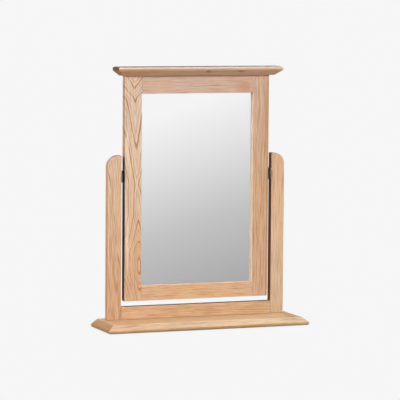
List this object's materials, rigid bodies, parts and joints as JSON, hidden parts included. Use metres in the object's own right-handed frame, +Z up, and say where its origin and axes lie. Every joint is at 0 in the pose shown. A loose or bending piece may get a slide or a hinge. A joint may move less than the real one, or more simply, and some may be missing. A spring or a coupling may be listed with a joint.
{
  "type": "trinket mirror",
  "caption": "Free-standing dressing-table mirror: a framed mirror with a moulded cornice tilts between two posts on a moulded base board, held where it is put by friction pivots.",
  "frame": {"origin": "on the floor under the middle of the base board", "axes": "+X to the right of someone who looks into the mirror, +Y to the back, +Z up"},
  "size_m": [0.523, 0.137, 0.638],
  "materials": {
    "oak": "light oak, planed and sanded, clear satin lacquer",
    "beech": "plain beech dowel",
    "silvered_glass": "float glass, silvered on its back",
    "backing_board": "brown hardboard",
    "dark_bronze": "steel with a dark bronze finish",
    "zinc_steel": "bright zinc plated steel",
    "fibre": "dark hard fibre"
  },
  "bodies": {
    "stand": {"base_board": "oak", "left_post": "oak", "right_post": "oak", "cross_rail": "oak", "left_rail_dowels": "beech", "right_rail_dowels": "beech", "base_screws": "zinc_steel", "left_post_plate": "dark_bronze", "right_post_plate": "dark_bronze", "left_post_plate_screws": "dark_bronze", "right_post_plate_screws": "dark_bronze", "left_pivot_pin": "zinc_steel", "right_pivot_pin": "zinc_steel"},
    "mirror": {"left_stile": "oak", "right_stile": "oak", "top_rail": "oak", "bottom_rail": "oak", "cornice": "oak", "cornice_dowels": "beech", "mirror_glass": "silvered_glass", "back_panel": "backing_board", "back_panel_screws": "zinc_steel", "left_frame_plate": "dark_bronze", "right_frame_plate": "dark_bronze", "left_frame_plate_screws": "dark_bronze", "right_frame_plate_screws": "dark_bronze", "left_friction_washer": "fibre", "right_friction_washer": "fibre", "left_spring_washer": "zinc_steel", "right_spring_washer": "zinc_steel"}
  },
  "joints": [
    {"name": "mirror_tilt", "type": "hinge", "parent": "stand", "child": "mirror", "pos_m": [0, 0.0395, 0.3705], "axis": [1, 0, 0], "range_deg": [-165, 165]}
  ]
}
